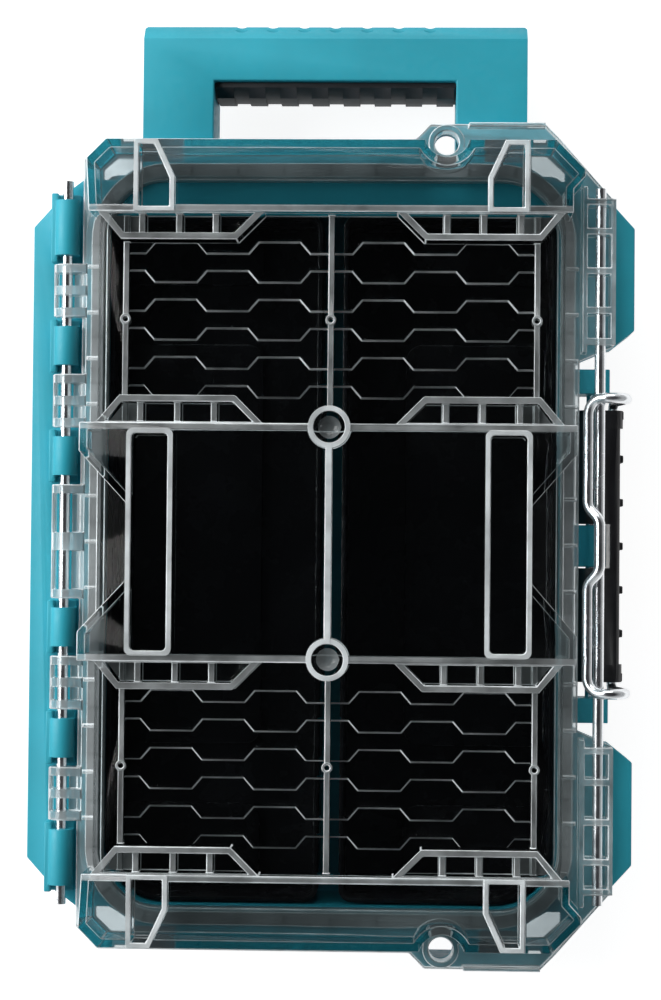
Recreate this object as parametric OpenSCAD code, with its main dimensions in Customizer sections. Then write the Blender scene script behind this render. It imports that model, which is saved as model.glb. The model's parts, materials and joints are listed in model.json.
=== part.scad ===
// Organiser tool case with a clear hinged lid, lying flat on its feet.
// +X is the latch side, +Y the handle end, +Z up. The origin is under the middle of the case.

/* [Case] */
// Length of the base and the lid, without the lock tabs
case_l = 294; // [280:1:330]
// Width of the rim between the hollow and the hinge edge
hinge_rim = 9; // [8.5:0.5:14]
// Width of the rim between the hollow and the latch edge
latch_rim = 6.5; // [6.2:0.1:10]
// How far the wings that carry the strike rod stand out past the latch edge
wing_out = 13.3; // [13:0.1:16]
// Height of the base's rim above the ground
base_h = 44; // [42:1:60]
// Height of the lid above the rim
lid_h = 26; // [24:1:36]
// Wall thickness of the base
base_wall = 2.6; // [2:0.1:4]
// Wall thickness of the lid
lid_wall = 2.4; // [1.8:0.1:3]
// Thickness of the base's floor
floor_t = 2.5; // [2:0.1:4]
// Height of the moulded feet
foot_h = 2; // [1:0.1:3]
// Thickness of the flange round the rim of the base
flange_t = 4; // [3:0.1:6]

/* [Storage space] */
// Half width of the hollow in the base
hollow_hw = 82; // [78:0.5:83]
// End wall block under the handle, measured from the end of the case
handle_end = 26; // [24:0.5:40]
// Plain end wall, measured from the end of the case
plain_end = 16; // [16:0.5:30]
// Corner radius of the hollow
hollow_r = 22; // [14:1:28]
// Gap round each bin
bin_gap = 0.8; // [0.4:0.1:2]
// Wall thickness of the bins
bin_wall = 1.8; // [1.2:0.1:3]
// How far the bins stay under the rim
bin_under = 4; // [2:0.5:12]
// Gap between the two bins
bin_split = 7.6; // [2:0.2:14]
// Height of the raised pads in the floor of a bin
pad_h = 2.5; // [1:0.1:5]

/* [Seal] */
// Width of the gasket
gasket_w = 4.6; // [3:0.1:4.8]
// Height of the gasket
gasket_h = 3; // [2:0.1:3.2]
// Distance from the edge of the hollow to the middle of the gasket
gasket_in = 3.2; // [3.2:0.1:4.6]
// Distance between the cross ribs over the gasket
gasket_rib_step = 16.6; // [10:0.2:25]

/* [Hinge] */
// Diameter of the hinge rod and of the strike rod
rod_d = 3.9; // [3:0.1:4.4]
// Running clearance round a rod, on the radius
rod_fit = 0.05; // [0.02:0.01:0.1]
// Outer radius of a hinge knuckle
knuckle_r = 4.4; // [3.8:0.1:5]
// Distance of the hinge axis outside the lid's edge
hinge_out = 5.6; // [5.4:0.1:7]
// Height of the hinge axis above the rim
hinge_up = 2.4; // [2:0.1:4]
// Length of one knuckle
knuckle_l = 20; // [16:0.5:24]
// Gap between two knuckles
knuckle_gap = 0.8; // [0.4:0.1:1.5]
// Width of the shelf outside the hinge
shelf_w = 13.2; // [10:0.1:18]

/* [Latch] */
// Height of the strike rod above the rim
strike_up = 6; // [6:0.1:8]
// Distance of the strike rod outside the latch edge
strike_out = 8.1; // [8:0.1:9]
// Distance of the lever's pin outside the latch edge
pin_out = 6.5; // [6.4:0.1:7]
// Depth of the lever's pin under the rim
pin_down = 11; // [11:0.1:14]
// Half length of the lever
lever_hl = 49.5; // [44:0.5:49.5]
// Length of the lever's plate below its pin
lever_drop = 27; // [20:0.5:28]
// Thickness of the lever's plate
lever_t = 3.6; // [3:0.1:5]
// Radius of the lever's barrel round its pin
lever_barrel_r = 6; // [4.5:0.1:6]
// Diameter of the bail's wire
wire_d = 3.8; // [3:0.1:3.9]
// Gap between the bail's arms and the lever's ends
bail_side_gap = 1.35; // [0.8:0.05:2]
// Ribs across the lever's plate, on each side of its middle one
lever_side_ribs = 3; // [2:1:5]

/* [Handle] */
// Width of the handle
handle_w = 141; // [120:1:150]
// Width of the finger gap
grip_gap_w = 89; // [80:1:96]
// How far the handle stands out past the end of the case
handle_out = 43.9; // [36:0.1:60]
// Thickness of the handle's bar, with its grip
handle_bar = 26.6; // [22:0.1:30]
// Depth of the handle from front to back
handle_depth = 29; // [24:0.5:30]
// Chamfer along the handle's outer edges
handle_chamfer = 5.4; // [2:0.1:6]
// Thickness of the soft grip
grip_t = 5.7; // [3:0.1:7]
// Number of finger notches along the handle
finger_notches = 7; // [3:2:7]
// Distance between the finger notches
notch_step = 11.6; // [9:0.1:12]

/* [Lid top] */
// Half length of the raised centre panel
panel_hl = 42.2; // [38:0.2:48]
// Length of the raised wing at each end, from the end of the case
wing_l = 30; // [28:0.5:36]
// How far the windows lie under the top
window_drop = 11; // [9:0.1:14]
// Depth of the pockets that stand out into the windows
pocket_out = 9.8; // [7:0.1:12]
// Width of the stiffening ribs along the windows
rib_w = 2; // [1.2:0.1:3]
// Height of the honeycomb ridges on the windows
comb_h = 0.8; // [0.4:0.1:1.5]
// Width of the honeycomb ridges
comb_w = 0.9; // [0.6:0.1:1.5]
// Distance between the rows of the honeycomb
comb_step = 10.3; // [9:0.1:11]
// Radius of the round bosses on the centre panel
boss_r = 7.5; // [6:0.1:9]

/* [Lock] */
// Radius of the padlock holes
lock_r = 4.4; // [3:0.1:5]
// Distance of the padlock holes from the middle of the case, across
lock_x = 40.9; // [38:0.1:46]
// How far the lock tabs stand out past the end of the case
tab_out = 5.6; // [5:0.1:10]

/* [Hidden] */

TEAL = [0.10, 0.56, 0.63];
CLEAR = [0.82, 0.90, 0.93, 0.45];
BLACK = [0.05, 0.05, 0.06];
RUBBER = [0.12, 0.12, 0.13];
SEAL = [0.45, 0.43, 0.42];
ZINC = [0.80, 0.82, 0.84];

$fn = 48;
cut = 1;
half_l = case_l / 2;
hinge_side = hollow_hw + hinge_rim;
latch_side = hollow_hw + latch_rim;
top_z = base_h + lid_h;
floor_z = foot_h + floor_t;
window_z = top_z - window_drop;
rod_r = rod_d / 2;
wire_r = wire_d / 2;
bore_r = rod_r + rod_fit;

// Outline of the lid
corner_l = 8;
corner_latch = 22.5;
latch_bay = 66.3;
wing_start = 72;
wing_x = latch_side + wing_out;
tab_x0 = lock_x - 11.4;
tab_x1 = lock_x + 41.1;
tab_slope = 5.5;
lock_y = half_l - 2.2;
lock_ring_t = 2.2;
lock_ring_h = 8;
lock_recess = lock_r + 3.8;
lock_edge_h = 6;

// Hollow of the base
hollow_y0 = -(half_l - plain_end);
hollow_y1 = half_l - handle_end;
tub_t = base_wall;
rim_hl = half_l - plain_end;
ledge_r = 6;

// Seal ring, the same at both ends
seal_hw = hollow_hw + gasket_in;
seal_hl = rim_hl + gasket_in + 1.2;
seal_r = hollow_r + gasket_in;
lid_fit = 0.2;

// Hinge
hinge_x = -(hinge_side + hinge_out);
hinge_z = base_h + hinge_up;
shelf_x = hinge_x - shelf_w;
hinge_hl = 6.35 * knuckle_l;
rod_over = 4;

// Latch
strike_x = latch_side + strike_out;
strike_z = base_h + strike_up;
pin_x = latch_side + pin_out;
pin_z = base_h - pin_down;
centre_lug = 7.6;
lug_gap = 0.5;
lug_w = 8.8;
lug_r = lever_barrel_r - 0.4;
bail_y = lever_hl + bail_side_gap + wire_r;
lug_y0 = bail_y + wire_r + lug_gap;
plate_x = pin_x + 6.6;

// Bail: its crossbar lies beside the strike rod, and its arms and its wave rise over the rod
bail_rise = 35;
bail_lean = 11.5;
rise = [cos(bail_rise), 0, sin(bail_rise)];
lean = [sin(bail_lean), 0, cos(bail_lean)];
hook_reach = 1.09;
hook_x = strike_x - (rod_r + wire_r) * hook_reach;
hook_z = strike_z + 2.2;
corner_r = 6;
arch_r = 5.6;
end_r = 3;
wave_r = 5;
wave_up = 5;
wave_y0 = 9;
wave_y1 = 14;
arch_turn = 90 + bail_rise + bail_lean;
arch_start = [hook_x, bail_y, hook_z] + corner_r * rise;
arch_top = arch_start + arch_r * tan(arch_turn / 2) * rise;
bail_pivot_z = pin_z + 1;
bail_pivot_x = arch_top[0] - (arch_top[2] - bail_pivot_z) * tan(bail_lean);

// Handle
handle_y = half_l + handle_out;
handle_root = half_l - handle_end + 13.6;
handle_z0 = 9;
handle_z1 = handle_z0 + handle_depth;
handle_hw = handle_w / 2;
gap_hw = grip_gap_w / 2;
gap_y = handle_y - handle_bar;
screw_x = (handle_hw + gap_hw) / 2;
notch_r = 3.2;
notch_sink = 0.6;
notch_deep = 2.6;
notch_h = 4;
notch_xs = [for (i = [0:finger_notches - 1]) (i - (finger_notches - 1) / 2) * notch_step];
screw_zs = [handle_z0 + 7, handle_z1 - 7];
screw_r = 1.9;
screw_head_r = 3.6;
screw_head_l = 2.6;
screw_web = 5;
screw_l = 18;

// A closed outline set in by d; its points run anticlockwise
function unit(v) = v / norm(v);
function inward(a, b) = let (e = unit(b - a)) [-e[1], e[0]];
function inset(pts, d) = [
    for (i = [0:len(pts) - 1])
        let (
            n = len(pts),
            before = inward(pts[(i + n - 1) % n], pts[i]),
            after = inward(pts[i], pts[(i + 1) % n])
        )
        pts[i] + d * (before + after) / (1 + before * after)
];

// Mirrors an outline half across X, so that it closes over -Y
function both_ends(half) = concat(
    [for (i = [len(half) - 1:-1:0]) [half[i][0], -half[i][1]]],
    half
);

// Half outline of the lid from the latch edge round to the hinge edge
lid_half = [
    [latch_side, latch_bay],
    [wing_x, wing_start],
    [wing_x, half_l - corner_latch],
    [tab_x1, half_l],
    [tab_x1 - tab_slope, half_l + tab_out],
    [tab_x0 + tab_slope, half_l + tab_out],
    [tab_x0, half_l],
    [-(hinge_side - corner_l), half_l],
    [-hinge_side, half_l - corner_l]
];
lid_outline = both_ends(lid_half);
base_outline = inset(lid_outline, 0.5);

module slab(pts, z0, z1) {
    translate([0, 0, z0]) linear_extrude(z1 - z0) polygon(pts);
}

// Rectangle from x0, y0 to x1, y1 with a radius at each corner: one value or four
module round_rect(x0, y0, x1, y1, r) {
    radii = is_list(r) ? r : [r, r, r, r];
    corners = [[x0, y0, 1, 1], [x1, y0, -1, 1], [x1, y1, -1, -1], [x0, y1, 1, -1]];
    difference() {
        translate([x0, y0]) square([x1 - x0, y1 - y0]);
        for (i = [0:3]) translate([corners[i][0], corners[i][1]]) mirror([corners[i][2] < 0 ? 1 : 0, 0])
            mirror([0, corners[i][3] < 0 ? 1 : 0]) difference() {
                translate([-cut, -cut]) square(radii[i] + cut);
                translate([radii[i], radii[i]]) circle(radii[i]);
            }
    }
}

module round_slab(x0, y0, x1, y1, r, z0, z1) {
    translate([0, 0, z0]) linear_extrude(z1 - z0) round_rect(x0, y0, x1, y1, r);
}

module block(x0, x1, y0, y1, z0, z1) {
    translate([x0, y0, z0]) cube([x1 - x0, y1 - y0, z1 - z0]);
}

module along_y(x, z, y0, y1, r) {
    translate([x, y0, z]) rotate([-90, 0, 0]) cylinder(r = r, h = y1 - y0);
}

module both_y() {
    children();
    mirror([0, 1, 0]) children();
}

module both_x() {
    children();
    mirror([1, 0, 0]) children();
}

// Profile in X and Z, drawn out along Y
module wall_y(pts, y0, y1) {
    translate([0, y1, 0]) rotate([90, 0, 0]) linear_extrude(y1 - y0) polygon(pts);
}

// Knuckles of the hinge for one half: the lid's are even, the base's odd
function knuckle_y(i) = i == 0 ? 0 : (i + 0.05) * knuckle_l;
last_knuckle = 5;

// Base: the deep tub with its flange, aprons, hinge shelf, ears, lugs and feet
apron_z = 22;
shelf_z = base_h - 3.2;
ear_x = wing_x + 7.6;

module hollow_space(z0, z1) {
    round_slab(-hollow_hw, hollow_y0, hollow_hw, hollow_y1, [hollow_r, hollow_r, ledge_r, ledge_r], z0, z1);
}

shelf_outline = both_ends([
    [-(hinge_side - 4), half_l - 11],
    [-(hinge_side + 8), half_l - 20],
    [shelf_x, half_l - 32]
]);

ear_outline = [
    [wing_x - 9, wing_start],
    [wing_x, wing_start],
    [ear_x, wing_start + 6],
    [ear_x, half_l - 32],
    [wing_x, half_l - 23.6],
    [wing_x - 9, half_l - 23.6]
];

// A flange plate with an apron hanging from its edge
module flange(pts, z1, t, apron) {
    slab(pts, z1 - t, z1);
    difference() {
        slab(pts, apron, z1 - t + cut);
        slab(inset(pts, base_wall), apron - cut, z1 - t);
    }
}

module base_feet() {
    both_x() round_slab(56, -37, 69, 37, 3, 0, foot_h + cut);
    both_x() both_y() round_slab(56, hollow_hw + 14, 69, half_l - 36, 3, 0, foot_h + cut);
    round_slab(-14, -30, 14, 30, 3, 0, foot_h + cut);
}

module base_knuckle(i) {
    y0 = knuckle_y(i) + knuckle_gap / 2;
    y1 = (i == last_knuckle ? hinge_hl : knuckle_y(i + 1)) - knuckle_gap / 2;
    x0 = hinge_x - knuckle_r;
    x1 = hinge_x + knuckle_r;
    pocket = 2.6;
    difference() {
        union() {
            along_y(hinge_x, hinge_z, y0 + pocket, y1 - pocket, knuckle_r);
            block(x0, x1, y0, y1, shelf_z - 3, hinge_z - rod_r - 1);
            block(x0, x1, y0 + pocket, y1 - pocket, shelf_z - 3, hinge_z);
            block(x0 - 1.4, x0 + 1, y0, y1, shelf_z - 3, hinge_z + 1.6);
        }
        along_y(hinge_x, hinge_z, y0 - cut, y1 + cut, bore_r);
    }
}

// Wells in the end flanges, under the lid's hooks
well_x0 = 55;
well_x1 = 70;
well_l = 5.5;
well_deep = 12;
well_wall = 2;
well_y1 = half_l - base_wall;
module well_box() {
    block(well_x0 - well_wall, well_x1 + well_wall, well_y1 - well_l - well_wall, well_y1 + 1.6,
        base_h - well_deep - well_wall, base_h - 1);
}

module well_space() {
    block(well_x0, well_x1, well_y1 - well_l, well_y1, base_h - well_deep, base_h + cut);
}

module base_shell() {
    color(TEAL) difference() {
        union() {
            // Tub
            round_slab(-hollow_hw - tub_t, -rim_hl - tub_t, hollow_hw + tub_t, handle_root,
                [hollow_r + tub_t, hollow_r + tub_t, ledge_r, ledge_r], foot_h, base_h - cut);
            base_feet();
            flange(base_outline, base_h, flange_t, apron_z);
            flange(shelf_outline, shelf_z, 3, apron_z);
            both_y() flange(ear_outline, base_h, 3, apron_z);
            // Upright ribs between the tub and the aprons
            both_y() for (x = [-60, -20, 20]) block(x, x + 2, rim_hl, half_l - 2, apron_z, base_h - 1);
            for (y = [-100:25:100]) block(shelf_x + 1, -hollow_hw, y - 1, y + 1, apron_z, shelf_z - 1);
            both_y() for (y = [84, 98, 112])
                block(hollow_hw, ear_x - 1, y - 1, y + 1, apron_z, base_h - 1);
            // Hinge knuckles
            both_y() for (i = [1:2:last_knuckle]) base_knuckle(i);
            // Lugs for the lever's pin
            both_y() block(hollow_hw, pin_x + 5.7, lug_y0, lug_y0 + lug_w, pin_z - 7, base_h - 0.4);
            along_y(pin_x, pin_z, -centre_lug, centre_lug, lug_r);
            block(hollow_hw, pin_x, -centre_lug, centre_lug, pin_z - lug_r, pin_z + lug_r - 0.6);
            both_y() both_x() well_box();
        }
        hollow_space(floor_z, base_h + cut);
        // Ledge at the handle end, hollow from below between the screw bosses
        for (x = [-31, 31]) block(x - 12, x + 12, hollow_y1 + 2.5, handle_root - 2.5,
            foot_h - cut, base_h - 8);
        // Corners open between the tub and the apron
        both_x() both_y() slab([[70, half_l - 9.5], [79, half_l - 15], [84, half_l - 15], [84, half_l - 11],
            [77, half_l - 4.5], [72, half_l - 4.5]], base_h - flange_t - cut, base_h + cut);
        both_y() both_x() well_space();
        // Padlock holes, hinge rod, lever pin
        both_y() translate([lock_x, lock_y, apron_z - cut]) cylinder(r = lock_r, h = base_h);
        along_y(hinge_x, hinge_z, -half_l, half_l, bore_r);
        along_y(pin_x, pin_z, -lug_y0 - lug_w - cut, lug_y0 + lug_w + cut, bore_r);
        // Room for the handle's arms under the flange, and their screws
        block(-handle_hw - 0.4, handle_hw + 0.4, handle_root, handle_y, apron_z - cut, handle_z1 + 0.3);
        both_x() for (z = screw_zs) {
            along_y(screw_x, z, hollow_y1 - cut, handle_root + cut, screw_r + rod_fit);
            along_y(screw_x, z, hollow_y1 - cut, handle_root - screw_web, screw_head_r + 0.4);
        }
    }
}

// Lid: flange, seal channel, windows, raised centre panel and raised end wings
panel_x = hinge_side - 2.5;
panel_latch_x = latch_side - 1;
waist_x = hollow_hw - 11;
waist_hl = 13;
notch_hl = 32;
panel_outline = both_ends([
    [waist_x, waist_hl],
    [panel_latch_x, notch_hl],
    [panel_latch_x, panel_hl],
    [-panel_x, panel_hl],
    [-panel_x, notch_hl],
    [-waist_x, waist_hl]
]);
wing_y = half_l - wing_l;
wing_set = 4.3;
wing_outline = [
    [-(hinge_side - 5), wing_y],
    [latch_side - 3, wing_y],
    [latch_side - 3, wing_y + 8.4],
    [latch_side + 1.2, half_l - 17],
    [latch_side + 1.2, half_l - 14.6],
    [latch_side - 8.8, half_l - wing_set],
    [-(hinge_side - 11), half_l - wing_set],
    [-(hinge_side - 4), half_l - 11.3]
];
channel_w = gasket_w / 2 + lid_fit;
channel_t = 1.7;
dome_x = seal_hw - channel_w - channel_t + lid_wall;
dome_y = seal_hl - channel_w - channel_t + lid_wall;
channel_z = base_h + gasket_h + 0.4 + 2;

module ring(d0, d1, z0, z1) {
    translate([0, 0, z0]) linear_extrude(z1 - z0) difference() {
        round_rect(-seal_hw - d1, -seal_hl - d1, seal_hw + d1, seal_hl + d1, seal_r + d1);
        round_rect(-seal_hw - d0, -seal_hl - d0, seal_hw + d0, seal_hl + d0, seal_r + d0);
    }
}

// Where the ribs lie along the windows
rib_x = hollow_hw - 8.7;

// A pocket that stands out from a raised edge at y into a window, with three ribs in it
pocket_xs = [23.6, 33.4, rib_x + 1.1, hollow_hw + 0.8];
pocket_rib_xs = [41, 54, 67.2];
module pocket_outside(y, z0, z1) {
    slab([[pocket_xs[0], y - cut], [pocket_xs[3], y - cut], [pocket_xs[3], y],
        [pocket_xs[2], y + pocket_out], [pocket_xs[1], y + pocket_out], [pocket_xs[0], y]], z0, z1);
}

module pocket_inside(y, z0, z1) {
    slab([[pocket_xs[0] + 3.6, y + 0.4], [pocket_xs[3] - 3.6, y + 0.4],
        [pocket_xs[2] - 0.8, y + pocket_out - 2.4], [pocket_xs[1] + 0.8, y + pocket_out - 2.4]], z0, z1);
}

module pocket(y) {
    difference() {
        pocket_outside(y, window_z - 1, top_z - 1);
        pocket_inside(y, window_z + 1.4, top_z);
    }
    for (x = pocket_rib_xs) block(x - 1.1, x + 1.1, y, y + pocket_out - 2, window_z, top_z - 3);
}

// One zigzag ridge of the honeycomb; side says which way its middle flat lies
comb_flat = 15;
comb_slope = 3.55;
comb_high = 4.1;
comb_flats = 4;
module comb_row(y, side) {
    pitch = comb_flat + comb_slope;
    half_up = side * comb_high / 2;
    line = concat(
        [[-rib_x, y + half_up]],
        [for (i = [-comb_flats:comb_flats - 1]) let (x = i * pitch + comb_flat / 2, up = i % 2 == 0 ? half_up : -half_up)
            each [[x, y + up], [x + comb_slope, y - up]]],
        [[rib_x, y + half_up]]
    );
    slab(concat(line, [for (i = [len(line) - 1:-1:0]) line[i] + [0, comb_w]]), window_z - 0.2, window_z + comb_h);
}

// Hooks in the end wings: wells open at the top, narrower towards the end of the case
hook_in = 57.3;
hook_out = 68.2;
hook_narrow = 5.5;
hook_wall = 1.8;
hook_outline = [[hook_in, wing_y + hook_wall], [hook_out, wing_y + hook_wall], [hook_out, half_l - 6.2],
    [hook_in + hook_narrow, half_l - 6.2], [hook_in, wing_y + 11.8]];
module hook_shape(grow, z0, z1) {
    slab(inset(hook_outline, -grow), z0, z1);
}

// Stacking slots in the centre panel
slot_x0 = 57;
slot_x1 = 69.7;
slot_hl = 38.3;
slot_frame = 1.9;
boss_y = panel_hl - 1.2;
dimple_r = 5.6;
mark_y = 79.5;
mark_r = 1.9;

module lid_knuckle(i) {
    y0 = i == 0 ? 0 : knuckle_y(i) + knuckle_gap / 2;
    y1 = knuckle_y(i + 1) - knuckle_gap / 2;
    web = 3.2;
    x0 = hinge_x - knuckle_r;
    starts = i == 0 ? [0, y1 - web] : [y0, (y0 + y1 - web) / 2, y1 - web];
    for (y = starts) {
        along_y(hinge_x, hinge_z, y, y + web, knuckle_r);
        block(hinge_x, -hinge_side + 2, y, y + web, base_h + 0.2, hinge_z + knuckle_r);
    }
    block(x0, x0 + 1.3, y0, y1, hinge_z - 2.2, hinge_z + 2.2);
    block(hinge_x + 2.6, -hinge_side + 2, y0, y1, base_h + 0.2, base_h + 1.6);
}

strike_hl = half_l - 18.5;
clip_ys = [wing_start + 1.2, 84.4, 98.6, 112.8, half_l - 23.6];
module strike_wing() {
    x0 = latch_side + 2.3;
    z1 = strike_z + rod_r + 1.8;
    block(x0 - 0.9, x0 + 0.9, latch_bay + 3, half_l - 18, base_h, z1);
    block(wing_x - 1.7, wing_x, wing_start, half_l - corner_latch, base_h, z1);
    for (y = clip_ys) block(x0, wing_x - 1, y - 1.2, y + 1.2, base_h, z1);
}

module lid_top_parts() {
    both_x() round_slab(slot_x0 - slot_frame, -slot_hl - slot_frame, slot_x1 + slot_frame, slot_hl + slot_frame, 2.5,
        window_z - lid_wall, top_z + 0.8);
    both_y() translate([0, boss_y, window_z - 1]) cylinder(r = boss_r, h = window_drop + 1.6);
    both_y() both_x() pocket(panel_hl);
    both_x() translate([0, wing_y, 0]) mirror([0, 1, 0]) pocket(0);
    mirror([0, 1, 0]) both_x() translate([0, wing_y, 0]) mirror([0, 1, 0]) pocket(0);
    both_y() both_x() hook_shape(hook_wall, window_z - 1, top_z + 0.6);
    // Rings round the padlock holes, and the wing's wall that steps back round them
    both_y() translate([lock_x, lock_y, base_h]) cylinder(r = lock_r + lock_ring_t, h = lock_ring_h);
    both_y() intersection() {
        slab(wing_outline, channel_z, top_z);
        translate([lock_x, lock_y, base_h]) cylinder(r = lock_recess + lid_wall, h = lid_h);
    }
    // Ribs along the windows and the centre panel
    both_y() for (x = [-rib_x, 0, rib_x])
        block(x - rib_w / 2, x + rib_w / 2, panel_hl - 2, wing_y + 2, window_z - 1, window_z + 3);
    block(-rib_w / 2, rib_w / 2, -panel_hl + 6, panel_hl - 6, top_z - 1, top_z + 0.8);
    both_y() for (x = [-rib_x, 0, rib_x]) translate([x, mark_y, window_z - 1]) cylinder(r = mark_r, h = 4.6);
    both_y() for (i = [0:5]) comb_row(54.3 + i * comb_step - comb_w / 2, i % 2 == 0 ? 1 : -1);
}

module lid_shell() {
    color(CLEAR) difference() {
        union() {
            lid_body();
            lid_top_parts();
        }
        both_x() round_slab(slot_x0, -slot_hl, slot_x1, slot_hl, 1.6, window_z, top_z + cut);
        both_y() translate([0, boss_y, top_z + 0.6]) sphere(dimple_r);
        both_y() both_x() hook_shape(0, window_z + 1.6, top_z + cut);
        both_y() translate([lock_x, lock_y, 0]) {
            translate([0, 0, base_h - cut]) cylinder(r = lock_r, h = lid_h);
            translate([0, 0, base_h + lock_ring_h]) cylinder(r = lock_recess, h = lid_h);
        }
        both_y() for (x = [-rib_x, 0, rib_x]) translate([x, mark_y, window_z + 0.5]) cylinder(r = mark_r / 2, h = 4);
    }
}

module lid_body() {
    difference() {
        union() {
            slab(lid_outline, base_h, base_h + 2.6);
            ring(-channel_w - lid_wall, channel_w + 1.6, base_h, channel_z);
            for (y = [-6:6]) both_x() block(seal_hw - 3.4, seal_hw + 3.4,
                y * gasket_rib_step - 0.5, y * gasket_rib_step + 0.5, channel_z - 1, channel_z + 0.7);
            round_slab(-dome_x, -dome_y, dome_x, dome_y, hollow_r, base_h, window_z);
            slab(panel_outline, base_h + 1, top_z);
            both_y() slab(wing_outline, base_h + 1, top_z);
            both_y() strike_wing();
            both_y() for (i = [0:2:last_knuckle]) lid_knuckle(i);
            // Edge of each lock tab
            both_y() block(lock_x + 8, tab_x1 - tab_slope, half_l + tab_out - 1.6, half_l + tab_out, base_h,
                base_h + lock_edge_h);
        }
        // Inside of the dome, the panel and the wings
        round_slab(-dome_x + lid_wall, -dome_y + lid_wall, dome_x - lid_wall, dome_y - lid_wall,
            hollow_r - lid_wall, base_h - cut, window_z - lid_wall);
        slab(inset(panel_outline, lid_wall), channel_z, top_z - lid_wall);
        both_y() slab(inset(wing_outline, lid_wall), channel_z + 0.7, top_z - lid_wall);
        ring(-channel_w, channel_w, base_h - cut, base_h + gasket_h + 0.4);
        along_y(hinge_x, hinge_z, -half_l, half_l, rod_r + 1.6 * rod_fit);
        along_y(strike_x, strike_z, -strike_hl - 0.3, strike_hl + 0.3, bore_r);
    }
}

module lid_gasket() {
    color(SEAL) ring(-gasket_w / 2, gasket_w / 2, base_h, base_h + gasket_h);
}

module hinge_rod() {
    color(ZINC) along_y(hinge_x, hinge_z, -hinge_hl - rod_over, hinge_hl + rod_over, rod_r);
}

module strike_rod() {
    color(ZINC) along_y(strike_x, strike_z, -strike_hl, strike_hl, rod_r);
}

module latch_pin() {
    color(ZINC) along_y(pin_x, pin_z, -lug_y0 - lug_w + 0.6, lug_y0 + lug_w - 0.6, rod_r);
}

// Lever: two barrels on the pin, a web out to the plate, and a ribbed plate to pull
module latch_lever() {
    plate_z0 = pin_z - lever_drop;
    plate_z1 = pin_z + 4.4;
    color(BLACK) difference() {
        union() {
            both_y() along_y(pin_x, pin_z, centre_lug + 0.5, lever_hl, lever_barrel_r);
            both_y() wall_y([[pin_x, pin_z - 4], [plate_x + 1, pin_z - 7], [plate_x + 1, plate_z1],
                [pin_x, pin_z + 5]], centre_lug + 0.5, lever_hl - 6);
            both_y() along_y(bail_pivot_x, bail_pivot_z, lever_hl - 6.5, lever_hl, 3.6);
            both_y() wall_y([[pin_x, pin_z - 4.5], [bail_pivot_x, bail_pivot_z - 3.6],
                [bail_pivot_x, bail_pivot_z + 3.6], [pin_x, pin_z + 5]], lever_hl - 6.5, lever_hl);
            wall_y([[plate_x, plate_z0], [plate_x + lever_t - 1, plate_z0], [plate_x + lever_t, plate_z0 + 1],
                [plate_x + lever_t, plate_z1 - 1], [plate_x + lever_t - 1, plate_z1], [plate_x, plate_z1]],
                -lever_hl + 1.5, lever_hl - 1.5);
            for (i = [-lever_side_ribs:lever_side_ribs]) let (y = i * (lever_hl - 1.8) / lever_side_ribs)
                block(plate_x + 1, plate_x + lever_t + 1.3, y - 1.4, y + 1.4, plate_z0 + 2, plate_z1 - 2);
        }
        along_y(pin_x, pin_z, -lever_hl - cut, lever_hl + cut, rod_r + 1.6 * rod_fit);
        both_y() along_y(bail_pivot_x, bail_pivot_z, lever_hl - 7.5, lever_hl + cut, wire_r + rod_fit);
    }
}

// Points of an arc of radius r that rounds the corner at b between a and c
function bend(a, b, c, r, n = 7) =
    let (
        u = unit(a - b), v = unit(c - b), between = acos(u * v), turn = 180 - between,
        centre = b + unit(u + v) * r / sin(between / 2),
        from = b + u * r * tan(turn / 2) - centre, to = b + v * r * tan(turn / 2) - centre
    )
    [for (k = [0:n]) centre + (sin((1 - k / n) * turn) * from + sin(k / n * turn) * to) / sin(turn)];

// Normals carried along a path without twist
function carried(dirs, normal, i = 0) =
    i == len(dirs) ? [] :
    let (m = unit(normal - (normal * dirs[i]) * dirs[i])) concat([m], carried(dirs, m, i + 1));

// Round wire along points that lie close together
module wire(pts, r, sides = 12) {
    last = len(pts) - 1;
    dirs = [for (i = [0:last]) unit(pts[min(i + 1, last)] - pts[max(i - 1, 0)])];
    normals = carried(dirs, [0, 0, 1]);
    rings = [for (i = [0:last]) for (k = [0:sides - 1])
        pts[i] + r * (cos(k * 360 / sides) * normals[i] + sin(k * 360 / sides) * cross(dirs[i], normals[i]))];
    polyhedron(rings, concat(
        [[for (k = [0:sides - 1]) k]],
        [for (i = [0:last - 1]) for (k = [0:sides - 1]) let (a = i * sides + k, b = i * sides + (k + 1) % sides)
            each [[a, a + sides, b], [b, a + sides, b + sides]]],
        [[for (k = [sides - 1:-1:0]) last * sides + k]]
    ));
}

module wire_bail() {
    top = [hook_x, 0, hook_z] + wave_up * rise;
    pivot = [bail_pivot_x, bail_y, bail_pivot_z];
    y = [0, 1, 0];
    corners = [
        top, top + wave_y0 * y, [hook_x, wave_y1, hook_z], [hook_x, bail_y, hook_z],
        arch_top, pivot, pivot - (bail_y - lever_hl + 0.4) * y
    ];
    radii = [0, wave_r, wave_r, corner_r, arch_r, end_r];
    half = concat(
        [for (i = [1:5]) each bend(corners[i - 1], corners[i], corners[i + 1], radii[i])],
        [pivot - (end_r + 0.9) * y]
    );
    back = [for (i = [len(half) - 1:-1:0]) [half[i][0], -half[i][1], half[i][2]]];
    color(ZINC) {
        wire(concat(back, half), 0.985 * wire_r);
        // Ends that turn in the lever
        both_y() along_y(bail_pivot_x, bail_pivot_z, lever_hl - 6.2, bail_y - end_r - 0.4, wire_r);
    }
}

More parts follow.
